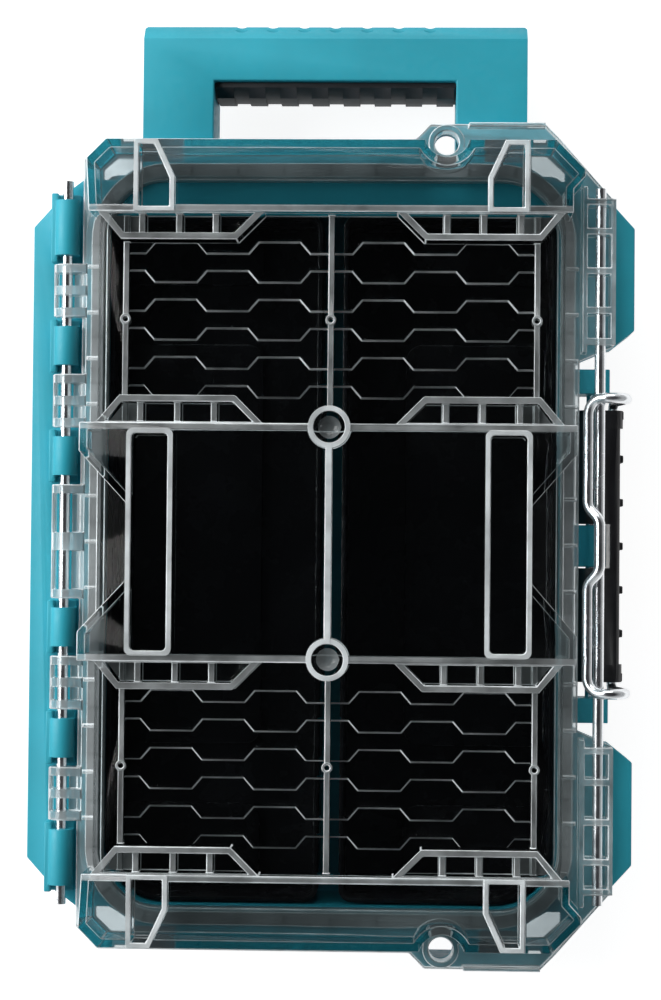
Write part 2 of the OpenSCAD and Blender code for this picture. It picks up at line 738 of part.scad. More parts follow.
// Handle: a stiff frame bolted to the end wall, with a soft grip under its bar
module handle_frame() {
    color(TEAL) difference() {
        intersection() {
            slab([[-handle_hw, handle_root], [handle_hw, handle_root], [handle_hw, handle_y - 0.9],
                [handle_hw - 0.9, handle_y], [-handle_hw + 0.9, handle_y], [-handle_hw, handle_y - 0.9]],
                handle_z0, handle_z1);
            translate([-handle_hw, 0, 0]) rotate([90, 0, 90]) linear_extrude(handle_w) polygon([
                [handle_root, handle_z0], [handle_y - handle_chamfer, handle_z0],
                [handle_y, handle_z0 + handle_chamfer], [handle_y, handle_z1 - handle_chamfer],
                [handle_y - handle_chamfer, handle_z1], [handle_root, handle_z1]
            ]);
        }
        // Finger gap, with the grip's seat at its outer side
        slab([[-gap_hw, handle_root - cut], [gap_hw, handle_root - cut], [gap_hw, gap_y + grip_t],
            [-gap_hw, gap_y + grip_t]], handle_z0 - cut, handle_z1 + cut);
        // Shallow finger notches across the outer chamfers
        for (x = notch_xs) translate([x, handle_y + notch_r, 0]) {
            translate([0, -notch_sink, handle_z0 - cut]) cylinder(r = notch_r, h = handle_depth + 2 * cut);
            for (z = [handle_z0 - notch_h, handle_z1 - notch_h]) translate([0, -notch_deep, z])
                cylinder(r = notch_r, h = 2 * notch_h);
        }
        both_x() for (z = screw_zs) along_y(screw_x, z, handle_root - cut, handle_root + screw_l - screw_web + 2,
            screw_r + rod_fit);
    }
}

// Soft grip: a rounded bar with lobes between the finger notches
module grip_bar(x0, x1, swell) {
    y1 = gap_y + grip_t;
    y0 = gap_y + 0.8 - swell;
    z0 = handle_z0 + 1.5;
    z1 = handle_z1 - 3;
    translate([x0, 0, 0]) rotate([90, 0, 90]) linear_extrude(x1 - x0) polygon([
        [y1, z0], [y1, z1], [y1 - 2, z1], [y0 + 0.6, z1 - 5], [y0, (z0 + z1) / 2 + 2],
        [y0, (z0 + z1) / 2 - 4], [y0 + 0.8, z0 + 3], [y1 - 2, z0]
    ]);
}

module handle_grip() {
    lobe = 3.1;
    sides = (finger_notches + 1) / 2;
    color(RUBBER) {
        grip_bar(-gap_hw, gap_hw, 0);
        for (i = [-sides:sides - 1]) let (x = (i + 0.5) * notch_step) grip_bar(x - lobe, x + lobe, 0.8);
    }
}

module handle_screws() {
    y_head = handle_root - screw_web;
    color(ZINC) both_x() for (z = screw_zs) {
        along_y(screw_x, z, y_head - screw_head_l, y_head, screw_head_r);
        along_y(screw_x, z, y_head - 0.1, y_head - 0.1 + screw_l, screw_r);
    }
}

// One removable bin, on the latch side; the other is its mirror image
module bin() {
    x0 = bin_split / 2;
    x1 = hollow_hw - bin_gap;
    y0 = hollow_y0 + bin_gap;
    y1 = hollow_y1 - bin_gap;
    inner_r = 5;
    floor_in = floor_z + bin_wall;
    difference() {
        round_slab(x0, y0, x1, y1, [inner_r, hollow_r - bin_gap, 6, inner_r], floor_z, base_h - bin_under);
        round_slab(x0 + bin_wall, y0 + bin_wall, x1 - bin_wall, y1 - bin_wall,
            [inner_r - bin_wall, hollow_r - bin_gap - bin_wall, 4, inner_r - bin_wall], floor_in, base_h);
    }
    // Pads over the hollows of the case's underside
    for (y = [[y0 + 1, -98], [-75.5, 75.5], [98, y1 - 1]])
        round_slab(27, y[0], x1 - 1, y[1], [6, y[0] < -99 ? hollow_r - 2 : 6, 6, 6], floor_in - 0.2, floor_in + pad_h);
}

module bin_left() {
    color(BLACK) mirror([1, 0, 0]) bin();
}

module bin_right() {
    color(BLACK) bin();
}

base_shell();
lid_shell();
lid_gasket();
hinge_rod();
strike_rod();
latch_pin();
latch_lever();
wire_bail();
handle_frame();
handle_grip();
handle_screws();
bin_left();
bin_right();
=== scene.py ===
"""Organiser tool case seen from above: its finishes, its rounded pieces, and a plain studio."""
import json
import math

import bmesh
import bpy
from mathutils import Matrix, Vector
from mathutils.kdtree import KDTree


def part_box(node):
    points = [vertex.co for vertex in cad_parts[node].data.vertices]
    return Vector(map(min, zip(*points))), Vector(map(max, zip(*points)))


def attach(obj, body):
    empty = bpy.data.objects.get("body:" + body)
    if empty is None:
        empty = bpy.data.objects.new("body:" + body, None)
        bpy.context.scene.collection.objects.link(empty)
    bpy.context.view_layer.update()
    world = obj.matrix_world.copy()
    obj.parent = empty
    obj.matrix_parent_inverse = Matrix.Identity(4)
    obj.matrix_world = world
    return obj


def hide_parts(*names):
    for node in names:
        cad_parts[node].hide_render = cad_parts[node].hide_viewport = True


MM = 0.001
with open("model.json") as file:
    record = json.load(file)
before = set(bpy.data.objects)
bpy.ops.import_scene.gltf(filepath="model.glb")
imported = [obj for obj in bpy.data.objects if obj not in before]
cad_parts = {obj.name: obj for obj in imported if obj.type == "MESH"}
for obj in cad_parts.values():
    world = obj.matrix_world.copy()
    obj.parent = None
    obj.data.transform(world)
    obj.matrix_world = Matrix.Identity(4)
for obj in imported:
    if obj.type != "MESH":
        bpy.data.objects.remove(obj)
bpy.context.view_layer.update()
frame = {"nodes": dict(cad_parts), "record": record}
NODES = frame["nodes"]
BODIES = frame["record"]["behaviour"]["bodies"]
BODY_OF = {node: body for body, names in BODIES.items() for node in names}

# Camera: the photo is taken from almost straight above
CAMERA_PLACE = (27.36 * MM, -5.32 * MM, 900.0 * MM)
CAMERA_TURN = (math.radians(1.432), math.radians(1.827), math.radians(0.510))
CAMERA_LENS = 84.99
SENSOR = 36.0

# Colours of the plastics, the seal and the steel, as linear values
TEAL = (0.023, 0.345, 0.445)
# The clear sheet's grey tint is partly painted shade: it darkens the inside of the case seen
# through the lid
CLEAR_TINT_AND_SHADE = (0.78, 0.84, 0.86)
SEAL = (0.165, 0.15, 0.155)
# Whitish colour of the lid's edges, wall tops, rim and ribs: partly a slight milkiness of the
# plastic, partly painted highlight for light caught at clear edges
EDGE_MILK_AND_HIGHLIGHT = (0.9, 0.955, 0.97)
BIN_BLACK = (0.006, 0.006, 0.007)
LEVER_BLACK = (0.012, 0.012, 0.014)
GRIP_BLACK = (0.014, 0.014, 0.016)
ZINC = (0.86, 0.88, 0.9)

# Clear plastic: how much it bends light in its sheet and at its edges, and the light that passes it
SHEET_IOR = 1.04
EDGE_IOR = 1.08
SHEET_PASSES = 0.45
WALL_PASSES = 0.8
RIM_PASSES = 0.97

# Heights on the lid: its rim, its windows, and what stands on its top
RIM_TOP = 52.0 * MM
COMB_LOW = 58.9 * MM
COMB_HIGH = 60.0 * MM
FRAME_LOW = 70.3 * MM
# A level face narrower than this is the top of a wall or a rib
WALL_WIDTH = 2.9 * MM
# How far the frames of slots and hooks reach past their openings
FRAME_REACH = 2.6 * MM
# Parts of a face's normal that make it level, slanted across, or turned to the light
LEVEL_Z = 0.7
SLANTED_X = 0.25
LIT_Y = -0.2

# Where walls of the lid stand under its top, which makes that stretch of the top look milky: it
# takes the whitish wall finish, partly painted highlight
PANEL_END = 42.2 * MM
WING_FRONT = 117.0 * MM
LID_WALL = 2.4 * MM

# Seal: the middle line of its channel, and the marks across it
SEAL_HALF_W = 85.2 * MM
SEAL_HALF_L = 135.4 * MM
SEAL_RADIUS = 25.2 * MM
SEAL_MARK_STEP = 16.8 * MM

# Rounded edges: points nearer than this are one, the share of a narrow face that a rounding
# may take, the angle at which edges run on, and how often and how near a bad rounding is cut
MERGE_DISTANCE = 2e-6
FACE_SHARE = 0.4
RUN_ON_ANGLE = math.radians(140)
ROUNDING_TRIES = 5
CUT_REACH = 2.2
SMOOTH_ANGLE = math.radians(32)

# Bail: the corners of its path in millimetres, from the middle to one end, and each bend's radius
WIRE_RADIUS = 1.9 * MM
BAIL_SIDE = 52.75
BAIL_CORNERS = [
    ((96.5, 0, 55.07), 0),
    ((96.5, 9, 55.07), 5),
    ((92.4, 14, 52.2), 5),
    ((92.4, BAIL_SIDE, 52.2), 6),
    ((108.82, BAIL_SIDE, 63.69), 5.6),
    ((102.78, BAIL_SIDE, 34.0), 3),
    ((102.78, 43.3, 34.0), 0),
]
WIRE_SIDES = 28

# Studio: the floor's half side, and the strength of the world at the left and the right
FLOOR_REACH = 4.0
FLOOR_GLOW = 0.9
WORLD_LEFT = 1.15
WORLD_RIGHT = 0.4


class Finish:
    """A material with a Principled shader and helpers for its procedural nodes."""

    def __init__(self, name, colour, roughness, **values):
        self.material = bpy.data.materials.new(name)
        self.material.use_nodes = True
        self.nodes = self.material.node_tree.nodes
        self.links = self.material.node_tree.links
        self.shader = self.nodes["Principled BSDF"]
        self.shader.inputs["Base Color"].default_value = (*colour, 1)
        self.shader.inputs["Roughness"].default_value = roughness
        for socket, value in values.items():
            self.shader.inputs[socket.replace("_", " ")].default_value = value
        self.place = self.nodes.new("ShaderNodeTexCoord").outputs["Object"]

    def noise(self, scale, detail=3.0, roughness=0.55, stretch=None):
        place = self.place
        if stretch:
            mapping = self.nodes.new("ShaderNodeMapping")
            mapping.inputs["Scale"].default_value = stretch
            self.links.new(place, mapping.inputs["Vector"])
            place = mapping.outputs["Vector"]
        noise = self.nodes.new("ShaderNodeTexNoise")
        noise.inputs["Scale"].default_value = scale
        noise.inputs["Detail"].default_value = detail
        noise.inputs["Roughness"].default_value = roughness
        self.links.new(place, noise.inputs["Vector"])
        return noise.outputs["Fac"]

    def spread(self, factor, low, high, start=0.3, end=0.7):
        """The factor's values from start to end, spread over low to high."""
        spread = self.nodes.new("ShaderNodeMapRange")
        ends = {"From Min": start, "From Max": end, "To Min": low, "To Max": high}
        for socket, value in ends.items():
            spread.inputs[socket].default_value = value
        self.links.new(factor, spread.inputs["Value"])
        return spread.outputs["Result"]

    def colours(self, factor, dark, light):
        mix = self.nodes.new("ShaderNodeMix")
        mix.data_type = "RGBA"
        mix.inputs["A"].default_value = (*dark, 1)
        mix.inputs["B"].default_value = (*light, 1)
        self.links.new(factor, mix.inputs["Factor"])
        self.links.new(mix.outputs["Result"], self.shader.inputs["Base Color"])

    def bump(self, factor, depth, strength=1.0):
        bump = self.nodes.new("ShaderNodeBump")
        bump.inputs["Strength"].default_value = strength
        bump.inputs["Distance"].default_value = depth
        self.links.new(factor, bump.inputs["Height"])
        self.links.new(bump.outputs["Normal"], self.shader.inputs["Normal"])

    def roughness(self, factor, low, high):
        self.links.new(self.spread(factor, low, high), self.shader.inputs["Roughness"])


def shade(colour, share):
    return tuple(c * share for c in colour)


def moulded_teal():
    """Satin polypropylene with a fine spark-eroded grain and faint flow marks."""
    finish = Finish("moulded_teal", TEAL, 0.5, Specular_IOR_Level=0.4)
    finish.colours(finish.spread(finish.noise(22, 4), 0, 1), shade(TEAL, 0.9), shade(TEAL, 1.08))
    finish.bump(finish.noise(2600, 2), 0.03 * MM, 0.55)
    finish.roughness(finish.noise(420, 2), 0.42, 0.58)
    return finish.material


def see_through(finish, share):
    """Shadow and bounced rays pass the plastic straight, and keep this share of their light."""
    passing = finish.nodes.new("ShaderNodeBsdfTransparent")
    passing.inputs["Color"].default_value = (*shade((0.96, 1.0, 1.0), share), 1)
    ray = finish.nodes.new("ShaderNodeLightPath")
    either = finish.nodes.new("ShaderNodeMath")
    either.operation = "MAXIMUM"
    finish.links.new(ray.outputs["Is Shadow Ray"], either.inputs[0])
    finish.links.new(ray.outputs["Is Diffuse Ray"], either.inputs[1])
    mix = finish.nodes.new("ShaderNodeMixShader")
    finish.links.new(either.outputs[0], mix.inputs["Fac"])
    finish.links.new(finish.shader.outputs[0], mix.inputs[1])
    finish.links.new(passing.outputs[0], mix.inputs[2])
    finish.links.new(mix.outputs[0], finish.nodes["Material Output"].inputs["Surface"])


def clear_lid():
    """Polished clear sheet that bends little light, with a weak gloss coat on its faces. Its grey
    tint is partly painted shade over the inside of the case.
    """
    finish = Finish("clear_polycarbonate", CLEAR_TINT_AND_SHADE, 0.0, Transmission_Weight=1.0, IOR=SHEET_IOR,
                    Coat_Weight=0.16, Coat_Roughness=0.03, Coat_IOR=1.5)
    see_through(finish, SHEET_PASSES)
    return finish.material


def milky_and_highlight(name, through, passes=WALL_PASSES, patches=130, low=0.55):
    """Clear plastic seen end on: the less goes through, the whiter it looks. The white is partly a
    slight milkiness and partly painted highlight, for the light that clear plastic catches at its
    edges and walls.
    """
    finish = Finish(name, EDGE_MILK_AND_HIGHLIGHT, 0.28, Transmission_Weight=through, IOR=EDGE_IOR, Coat_Weight=0.5)
    patchy = finish.spread(finish.noise(patches, 3), 0, 1, 0.35, 0.65)
    finish.colours(patchy, shade(EDGE_MILK_AND_HIGHLIGHT, low), EDGE_MILK_AND_HIGHLIGHT)
    see_through(finish, passes)
    return finish.material


def lid_finishes():
    # The finishes after the sheet whiten the clear plastic: partly milkiness, partly painted
    # highlight
    return {
        "sheet": clear_lid(),
        "edge": milky_and_highlight("clear_edges", through=0.12, low=0.6),
        "wall": milky_and_highlight("clear_walls", through=0.74, patches=60, low=0.4),
        "rim": milky_and_highlight("clear_rim", through=0.82, passes=RIM_PASSES, patches=40, low=0.6),
        "ridge": milky_and_highlight("clear_ridges", through=0.72),
        "frame": milky_and_highlight("clear_frames", through=0.3, patches=60, low=0.6),
    }


def near_opening(words, reach):
    """Boxes round the record's openings whose names hold one of the words."""
    low, high = Vector((-reach,) * 3), Vector((reach,) * 3)
    openings = frame["record"]["physics"]["openings"]
    return [
        (Vector(opening["box_m"][0]) + low, Vector(opening["box_m"][1]) + high)
        for opening in openings if any(word in opening["name"] for word in words)
    ]


def sort_lid_faces(lid, finishes):
    """Gives each face of the lid its finish, by its width, its height, what it is beside and which
    way it faces; the whiter finishes are partly painted highlight.
    """
    index = {name: i for i, name in enumerate(finishes)}
    frames = near_opening(("stacking_slot", "hook_well"), FRAME_REACH)
    mesh = lid.data
    for face in mesh.polygons:
        place, normal = face.center, face.normal
        rounded = face.material_index == index["edge"]
        level = abs(normal.z) > LEVEL_Z
        sides = (mesh.vertices[a].co - mesh.vertices[b].co for a, b in face.edge_keys)
        round_length = sum(side.length for side in sides)
        narrow = 2 * face.area < WALL_WIDTH * round_length
        if COMB_LOW < place.z < COMB_HIGH and (rounded or narrow):
            # The honeycomb shows as thin lines, brightest where it slants: rounded faces slanted
            # across and turned to the light take the whitest finish and other lit ones a fainter
            # one, a painted highlight
            slanted = abs(normal.x) > SLANTED_X
            lit = rounded and normal.y < LIT_Y
            face.material_index = index["edge" if lit and slanted else "ridge" if lit else "sheet"]
        elif rounded:
            continue
        elif level and narrow and place.z > RIM_TOP:
            # Tops above the frames' height and those round slots and hooks take the whitest wall
            # finish, a painted highlight
            bright = place.z > FRAME_LOW or any(
                all(low[i] < place[i] < high[i] for i in range(3)) for low, high in frames)
            face.material_index = index["frame" if bright else "wall"]
        elif place.z < RIM_TOP:
            face.material_index = index["rim"]


def foam_seal():
    finish = Finish("foam_seal", SEAL, 0.85)
    cells = finish.spread(finish.noise(1400, 4, 0.7), 0, 1)
    finish.colours(cells, shade(SEAL, 0.55), shade(SEAL, 1.6))
    finish.bump(finish.noise(1100, 3), 0.12 * MM)
    return finish.material


def dark_foam():
    finish = Finish("dark_mark_foam", shade(SEAL, 0.15), 0.9)
    finish.bump(finish.noise(900, 2), 0.05 * MM)
    return finish.material


def zinc_steel():
    """Bright zinc on drawn wire: streaks along the wire and a slightly cloudy sheen."""
    finish = Finish("zinc_steel", ZINC, 0.2, Metallic=1.0)
    cloud = finish.noise(160, 4)
    finish.colours(finish.spread(cloud, 0, 1), shade(ZINC, 0.8), ZINC)
    finish.roughness(cloud, 0.14, 0.3)
    finish.bump(finish.noise(900, 2, stretch=(1, 0.08, 1)), 0.02 * MM, 0.6)
    return finish.material


def black_lever():
    finish = Finish("black_nylon", LEVER_BLACK, 0.34, Specular_IOR_Level=0.5)
    cloud = finish.spread(finish.noise(60, 3), 0, 1)
    finish.colours(cloud, shade(LEVER_BLACK, 0.7), shade(LEVER_BLACK, 1.5))
    finish.bump(finish.noise(1800, 2), 0.03 * MM, 0.5)
    finish.roughness(finish.noise(300, 2), 0.28, 0.42)
    return finish.material


def black_bin():
    """Glossy black polypropylene with soft flow marks."""
    finish = Finish("glossy_black_bin", BIN_BLACK, 0.25, Specular_IOR_Level=0.16)
    flow = finish.spread(finish.noise(18, 3), 0, 1)
    finish.colours(flow, shade(BIN_BLACK, 0.6), shade(BIN_BLACK, 1.6))
    finish.bump(finish.noise(30, 2), 0.06 * MM, 0.3)
    finish.roughness(finish.noise(90, 3), 0.2, 0.32)
    return finish.material


def grip_rubber():
    finish = Finish("grip_rubber", GRIP_BLACK, 0.62)
    cloud = finish.spread(finish.noise(90, 3), 0, 1)
    finish.colours(cloud, shade(GRIP_BLACK, 0.7), shade(GRIP_BLACK, 1.5))
    finish.bump(finish.noise(1500, 3), 0.06 * MM)
    return finish.material


def width_inside(face, edge, sharp):
    """How wide a face is from one of its edges to the sharp edge across from it."""
    loop = next(loop for loop in face.loops if loop.edge == edge)
    start = loop.vert.co
    along = (loop.link_loop_next.vert.co - start).normalized()
    across = face.normal.cross(along)
    length = edge.calc_length()
    places = [share * length for share in (0.02, 0.26, 0.5, 0.74, 0.98)]
    width = 1.0
    for other in face.edges:
        if other == edge or other not in sharp:
            continue
        a, b = (vert.co - start for vert in other.verts)
        ax, ay, bx, by = a.dot(along), a.dot(across), b.dot(along), b.dot(across)
        for place in places:
            if (ax - place) * (bx - place) < 0:
                reach = ay + (by - ay) * (place - ax) / (bx - ax)
                if 1e-7 < reach < width:
                    width = reach
    return width


def first_widths(work, radius, limit):
    """A rounding width for each sharp edge, less where a face is narrow."""
    least = math.radians(limit)
    sharp = {e for e in work.edges if len(e.link_faces) == 2 and e.calc_face_angle() > least}
    return {
        e: min([radius] + [FACE_SHARE * width_inside(face, e, sharp) for face in e.link_faces])
        for e in sharp
    }


def even_out(work, width):
    """Edges that run on into each other take the least width among them."""
    follows = {}
    for vert in work.verts:
        here = [e for e in vert.link_edges if e in width]
        for i, a in enumerate(here):
            for b in here[i + 1:]:
                u, v = (e.other_vert(vert).co - vert.co for e in (a, b))
                if u.angle(v, 0) > RUN_ON_ANGLE:
                    follows.setdefault(a, []).append(b)
                    follows.setdefault(b, []).append(a)
    done = set()
    for first in width:
        if first in done:
            continue
        chain, todo = {first}, [first]
        while todo:
            for e in follows.get(todo.pop(), []):
                if e not in chain:
                    chain.add(e)
                    todo.append(e)
        least = min(width[e] for e in chain)
        width.update((e, least) for e in chain)
        done |= chain


def crossings(mesh):
    """Where a face's own sides cross each other, because it was rounded too far."""
    places = []
    for face in mesh.polygons:
        drop = max(range(3), key=lambda axis: abs(face.normal[axis]))
        keep = [axis for axis in range(3) if axis != drop]
        ring = [mesh.vertices[i].co for i in face.vertices]
        flat = [(co[keep[0]], co[keep[1]]) for co in ring]
        count = len(flat)
        for i in range(count):
            (ax, ay), (bx, by) = flat[i], flat[(i + 1) % count]
            for j in range(i + 2, count - (i == 0)):
                (cx, cy), (dx, dy) = flat[j], flat[(j + 1) % count]
                if max(ax, bx) < min(cx, dx) or max(cx, dx) < min(ax, bx):
                    continue
                c_side = (bx - ax) * (cy - ay) - (by - ay) * (cx - ax)
                d_side = (bx - ax) * (dy - ay) - (by - ay) * (dx - ax)
                a_side = (dx - cx) * (ay - cy) - (dy - cy) * (ax - cx)
                b_side = (dx - cx) * (by - cy) - (dy - cy) * (bx - cx)
                if c_side * d_side < 0 and a_side * b_side < 0:
                    places += [ring[i], ring[(i + 1) % count], ring[j], ring[(j + 1) % count]]
    return places


def rounded_copy(piece, work, width, radius, segments):
    weight = work.edges.layers.float["bevel_weight_edge"]
    for edge, value in width.items():
        edge[weight] = value / radius
    work.to_mesh(piece.data)
    bevel = piece.modifiers.new("edges", "BEVEL")
    bevel.width = radius
    bevel.segments = segments
    bevel.limit_method = "WEIGHT"
    bevel.use_clamp_overlap = False
    bevel.miter_outer = "MITER_SHARP"
    bevel.material = min(1, len(piece.data.materials) - 1)
    shown = piece.evaluated_get(bpy.context.evaluated_depsgraph_get())
    rounded = bpy.data.meshes.new_from_object(shown)
    piece.modifiers.clear()
    return rounded


def softened(node, radius, materials, segments=2, limit=35.0, flat=0.6, cuts=()):
    """A copy of a moulded piece whose sharp edges are rounded, which stands for the node.

    The rounding is less where there is little room. A second material, where there is one,
    goes on the rounded edges. Its upper faces are divided at each cut, a y in metres.
    """
    work = bmesh.new()
    work.from_mesh(NODES[node].data)
    bmesh.ops.remove_doubles(work, verts=work.verts, dist=MERGE_DISTANCE)
    bmesh.ops.dissolve_limit(
        work, angle_limit=math.radians(flat), verts=work.verts, edges=work.edges,
        delimit={"NORMAL"},
    )
    for y in cuts:
        upper = [face for face in work.faces if face.normal.z > 0.99]
        around = {part for face in upper for part in (*face.edges, *face.verts)}
        bmesh.ops.bisect_plane(
            work, geom=upper + list(around), plane_co=(0, y, 0), plane_no=(0, 1, 0))
    for face in work.faces:
        face.material_index = 0
    mesh = bpy.data.meshes.new(node + "_rounded")
    for material in materials:
        mesh.materials.append(material)
    piece = bpy.data.objects.new(node + "_rounded", mesh)
    bpy.context.scene.collection.objects.link(piece)
    work.edges.layers.float.new("bevel_weight_edge")
    width = first_widths(work, radius, limit)
    for _ in range(ROUNDING_TRIES):
        even_out(work, width)
        rounded = rounded_copy(piece, work, width, radius, segments)
        bad = crossings(rounded)
        if not bad:
            break
        tree = KDTree(len(bad))
        for i, place in enumerate(bad):
            tree.insert(place, i)
        tree.balance()
        for edge in width:
            if min(tree.find(vert.co)[2] for vert in edge.verts) < CUT_REACH * radius:
                width[edge] *= 0.5
    work.free()
    piece.data = rounded
    # Wide faces stay flat; the narrow strips along rounded edges and curves are smoothed
    corners = [vert.co for vert in rounded.vertices]
    for face in rounded.polygons:
        ring = list(face.vertices)
        sides = sorted((corners[a] - corners[b]).length for a, b in zip(ring, ring[1:] + ring[:1]))
        face.use_smooth = len(ring) == 4 and sides[1] < MM
    rounded.set_sharp_from_angle(angle=SMOOTH_ANGLE)
    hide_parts(node)
    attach(piece, BODY_OF[node])
    return piece


def tree_with(name, sizes):
    """A geometry tree with a named input for each size, its ends, and the inputs' identifiers."""
    tree = bpy.data.node_groups.new(name, "GeometryNodeTree")
    tree.interface.new_socket("Geometry", in_out="INPUT", socket_type="NodeSocketGeometry")
    tree.interface.new_socket("Geometry", in_out="OUTPUT", socket_type="NodeSocketGeometry")
    keys = {}
    for label, value in sizes.items():
        kind = "NodeSocketInt" if isinstance(value, int) else "NodeSocketFloat"
        keys[label] = tree.interface.new_socket(label, in_out="INPUT", socket_type=kind).identifier
    return tree, tree.nodes.new("NodeGroupInput"), tree.nodes.new("NodeGroupOutput"), keys


def finish_tree(tree, shape, end, material):
    real = tree.nodes.new("GeometryNodeRealizeInstances")
    paint = tree.nodes.new("GeometryNodeSetMaterial")
    paint.inputs["Material"].default_value = material
    tree.links.new(shape, real.inputs[0])
    tree.links.new(real.outputs[0], paint.inputs["Geometry"])
    tree.links.new(paint.outputs[0], end.inputs[0])


def grown(name, start_mesh, tree, keys, sizes, material):
    """The plain mesh that a geometry tree makes from a start mesh."""
    maker = bpy.data.objects.new(name + "_path", start_mesh)
    bpy.context.scene.collection.objects.link(maker)
    modifier = maker.modifiers.new("grow", "NODES")
    modifier.node_group = tree
    for label, value in sizes.items():
        modifier[keys[label]] = value
    shown = maker.evaluated_get(bpy.context.evaluated_depsgraph_get())
    mesh = bpy.data.meshes.new_from_object(shown)
    mesh.name = name
    bpy.data.objects.remove(maker)
    mesh.materials.clear()
    mesh.materials.append(material)
    mesh.polygons.foreach_set("material_index", [0] * len(mesh.polygons))
    piece = bpy.data.objects.new(name, mesh)
    bpy.context.scene.collection.objects.link(piece)
    return piece


def bent_path(corners, steps=10):
    """Points in metres along straight stretches and round bends, from corners in millimetres."""
    points = []
    for i, (corner, radius) in enumerate(corners):
        corner = Vector(corner)
        if not radius:
            points.append(corner * MM)
            continue
        back = (Vector(corners[i - 1][0]) - corner).normalized()
        ahead = (Vector(corners[i + 1][0]) - corner).normalized()
        half = back.angle(ahead) / 2
        centre = corner + (back + ahead).normalized() * (radius / math.sin(half))
        start = corner + back * (radius / math.tan(half)) - centre
        axis = back.cross(ahead).normalized()
        turn = -(math.pi - 2 * half)
        for step in range(steps + 1):
            points.append((centre + Matrix.Rotation(turn * step / steps, 3, axis) @ start) * MM)
    return points


def wire_bail(material):
    """The bail as round wire that follows its bent path, which is the same on both sides."""
    half = bent_path(BAIL_CORNERS)
    points = [Vector((p.x, -p.y, p.z)) for p in reversed(half[1:])] + half
    path = bpy.data.meshes.new("bail_path")
    path.from_pydata(points, [(i, i + 1) for i in range(len(points) - 1)], [])
    sizes = {"Wire radius": WIRE_RADIUS, "Sides": WIRE_SIDES}
    tree, start, end, keys = tree_with("wire_along_path", sizes)
    curve = tree.nodes.new("GeometryNodeMeshToCurve")
    ring = tree.nodes.new("GeometryNodeCurvePrimitiveCircle")
    tube = tree.nodes.new("GeometryNodeCurveToMesh")
    tube.inputs["Fill Caps"].default_value = True
    tree.links.new(start.outputs["Geometry"], curve.inputs["Mesh"])
    tree.links.new(start.outputs["Sides"], ring.inputs["Resolution"])
    tree.links.new(start.outputs["Wire radius"], ring.inputs["Radius"])
    tree.links.new(curve.outputs["Curve"], tube.inputs["Curve"])
    tree.links.new(ring.outputs["Curve"], tube.inputs["Profile Curve"])
    finish_tree(tree, tube.outputs["Mesh"], end, material)
    piece = grown("bail_wire", path, tree, keys, sizes, material)
    faces = piece.data.polygons
    faces.foreach_set("use_smooth", [len(face.vertices) == 4 for face in faces])
    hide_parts("wire_bail")
    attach(piece, BODY_OF["wire_bail"])


def seal_marks(material):
    """Thin dark marks across the seal, spaced along it where the lid's small ribs sit."""
    seal_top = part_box("lid_gasket")[1][2]
    path = bpy.data.meshes.new("seal_path")
    path.from_pydata([(0, 0, 0)], [], [])
    sizes = {
        "Half width": SEAL_HALF_W, "Half length": SEAL_HALF_L, "Corner radius": SEAL_RADIUS,
        "Step": SEAL_MARK_STEP, "Height": seal_top,
        "Mark width": 0.8 * MM, "Mark length": 4.4 * MM, "Mark depth": 0.5 * MM,
    }
    tree, start, end, keys = tree_with("marks_along_seal", sizes)
    ring = tree.nodes.new("GeometryNodeCurvePrimitiveQuadrilateral")
    double = [tree.nodes.new("ShaderNodeMath") for _ in range(2)]
    for node, source, target in zip(double, ("Half width", "Half length"), ("Width", "Height")):
        node.operation = "MULTIPLY"
        node.inputs[1].default_value = 2.0
        tree.links.new(start.outputs[source], node.inputs[0])
        tree.links.new(node.outputs[0], ring.inputs[target])
    corner = tree.nodes.new("GeometryNodeFilletCurve")
    corner.mode = "POLY"
    corner.inputs["Count"].default_value = 16
    corner.inputs["Limit Radius"].default_value = True
    tree.links.new(start.outputs["Corner radius"], corner.inputs["Radius"])
    tree.links.new(ring.outputs["Curve"], corner.inputs["Curve"])
    points = tree.nodes.new("GeometryNodeCurveToPoints")
    points.mode = "LENGTH"
    tree.links.new(start.outputs["Step"], points.inputs["Length"])
    tree.links.new(corner.outputs["Curve"], points.inputs["Curve"])
    mark = tree.nodes.new("GeometryNodeMeshCube")
    size = tree.nodes.new("ShaderNodeCombineXYZ")
    for label, axis in (("Mark length", "X"), ("Mark depth", "Y"), ("Mark width", "Z")):
        tree.links.new(start.outputs[label], size.inputs[axis])
    tree.links.new(size.outputs[0], mark.inputs["Size"])
    placed = tree.nodes.new("GeometryNodeInstanceOnPoints")
    tree.links.new(points.outputs["Points"], placed.inputs["Points"])
    tree.links.new(points.outputs["Rotation"], placed.inputs["Rotation"])
    tree.links.new(mark.outputs["Mesh"], placed.inputs["Instance"])
    lift = tree.nodes.new("ShaderNodeCombineXYZ")
    tree.links.new(start.outputs["Height"], lift.inputs["Z"])
    raised = tree.nodes.new("GeometryNodeTransform")
    tree.links.new(placed.outputs["Instances"], raised.inputs["Geometry"])
    tree.links.new(lift.outputs[0], raised.inputs["Translation"])
    finish_tree(tree, raised.outputs["Geometry"], end, material)
    piece = grown("seal_marks", path, tree, keys, sizes, material)
    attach(piece, BODY_OF["lid_gasket"])


def dress(node, material):
    """A CAD node keeps its shape and takes a finish."""
    NODES[node].data.materials.clear()
    NODES[node].data.materials.append(material)


def build_camera():
    camera = bpy.data.cameras.new("camera")
    camera.sensor_fit = "VERTICAL"
    camera.sensor_height = SENSOR
    camera.lens = CAMERA_LENS
    camera.clip_start = 0.01
    seat = bpy.data.objects.new("camera", camera)
    a, b, c = CAMERA_TURN
    seat.matrix_world = (
        Matrix.Translation(CAMERA_PLACE)
        @ Matrix.Rotation(c, 4, "Z") @ Matrix.Rotation(b, 4, "Y") @ Matrix.Rotation(a, 4, "X")
    )
    bpy.context.scene.collection.objects.link(seat)
    bpy.context.scene.camera = seat


